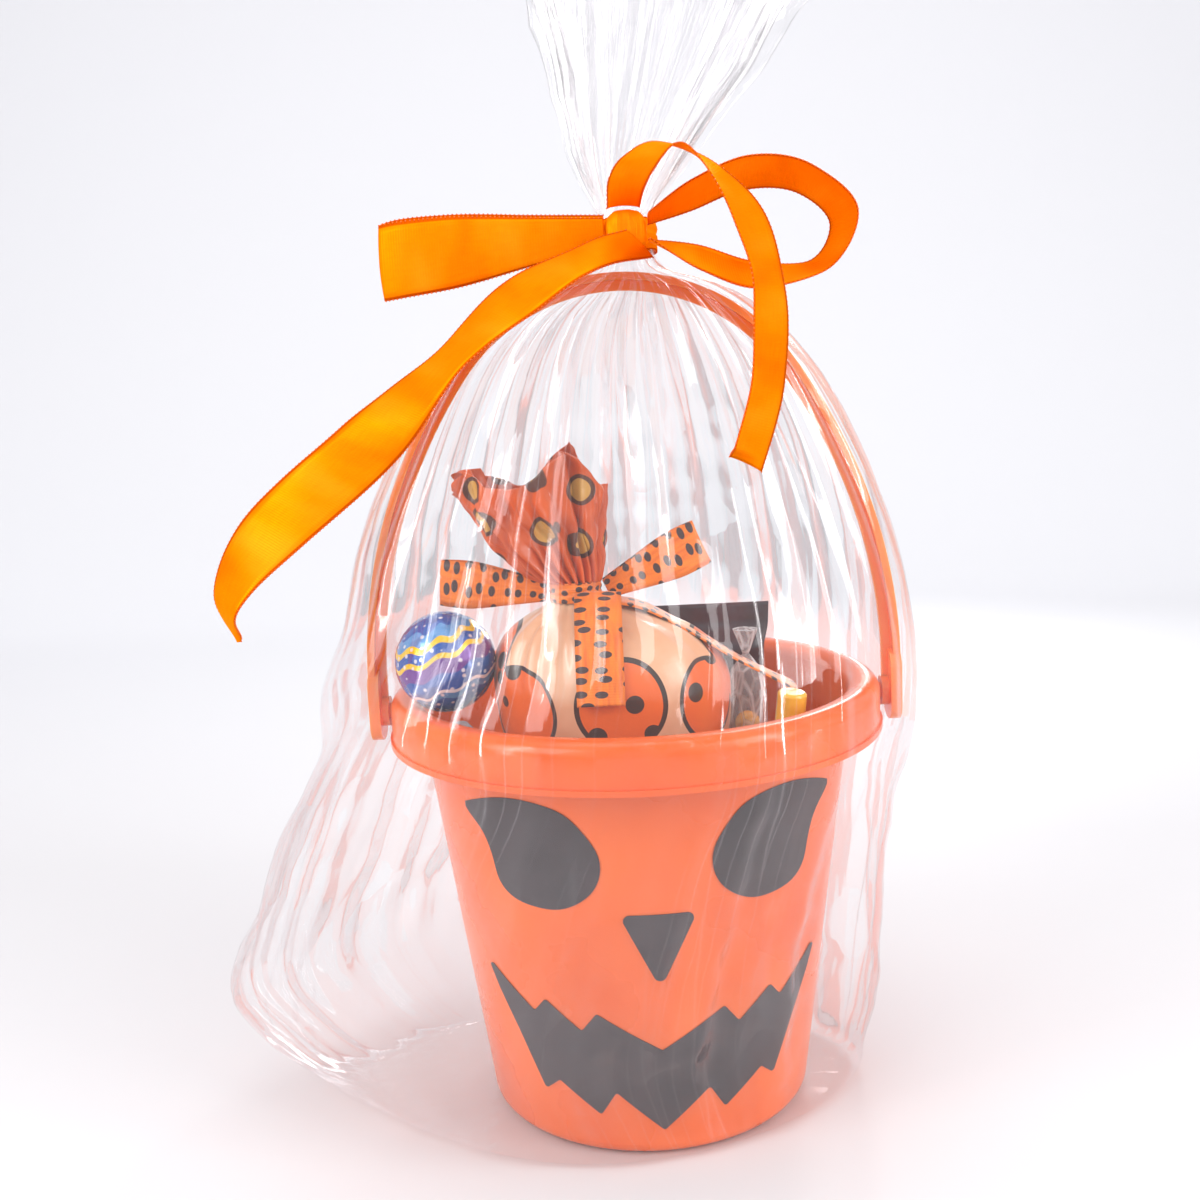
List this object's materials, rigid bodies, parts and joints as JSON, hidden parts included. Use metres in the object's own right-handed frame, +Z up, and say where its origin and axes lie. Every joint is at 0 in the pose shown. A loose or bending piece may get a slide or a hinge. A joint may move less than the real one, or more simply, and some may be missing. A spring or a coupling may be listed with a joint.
{
  "type": "pumpkin candy pail",
  "caption": "Orange plastic pail with a printed pumpkin face and swinging bail, filled with wrapped sweets, bagged in clear film and tied with a satin bow.",
  "frame": {"origin": "on the surface the wrapped pail stands on, under the pail's axis", "axes": "+Z up along the pail's axis, the printed face towards -Y, the bail's pivots along X"},
  "size_m": [0.2616, 0.1942, 0.4252],
  "materials": {
    "pail_plastic": "glossy moulded orange plastic",
    "face_ink": "flat dark grey print",
    "bail_plastic": "glossy moulded orange plastic",
    "clear_film": "clear crinkled film",
    "satin_ribbon": "satin with fine woven edges",
    "pouch_wrap": "pearly film with a print of rounds",
    "pouch_print": "printed orange film",
    "printed_ribbon": "orange ribbon with small dark marks",
    "blue_foil": "shiny foil with wavy bands",
    "maroon_wrap": "shiny dark wrapper",
    "dark_wrap": "shiny near-black wrapper",
    "clear_wrap": "clear twist of sweets",
    "yellow_wrap": "shiny yellow wrapper",
    "blue_wrap": "shiny blue wrapper"
  },
  "bodies": {
    "pail": {"pail_shell": "pail_plastic", "left_eye_print": "face_ink", "right_eye_print": "face_ink", "nose_print": "face_ink", "mouth_print": "face_ink", "wrap_skirt": "clear_film", "wrap_hood": "clear_film", "treat_pouch": "pouch_wrap", "pouch_top": "pouch_print", "pouch_tie": "printed_ribbon", "pouch_left_loop": "printed_ribbon", "pouch_right_loop": "printed_ribbon", "pouch_front_tail": "printed_ribbon", "pouch_streamer": "printed_ribbon", "foil_ball": "blue_foil", "maroon_bar": "maroon_wrap", "dark_bar": "dark_wrap", "clear_twist": "clear_wrap", "yellow_stick": "yellow_wrap", "blue_stick": "blue_wrap"},
    "bail": {"bail_handle": "bail_plastic", "wrap_plume": "clear_film", "ribbon_collar": "satin_ribbon", "ribbon_knot": "satin_ribbon", "ribbon_left_loop": "satin_ribbon", "ribbon_right_loop": "satin_ribbon", "ribbon_left_tail": "satin_ribbon", "ribbon_right_tail": "satin_ribbon"}
  },
  "joints": [
    {"name": "bail_swing", "type": "hinge", "parent": "pail", "child": "bail", "pos_m": [0, 0, 0.1479], "axis": [1, 0, 0], "range_deg": [-10, 10], "deforming": ["wrap_hood"]}
  ]
}
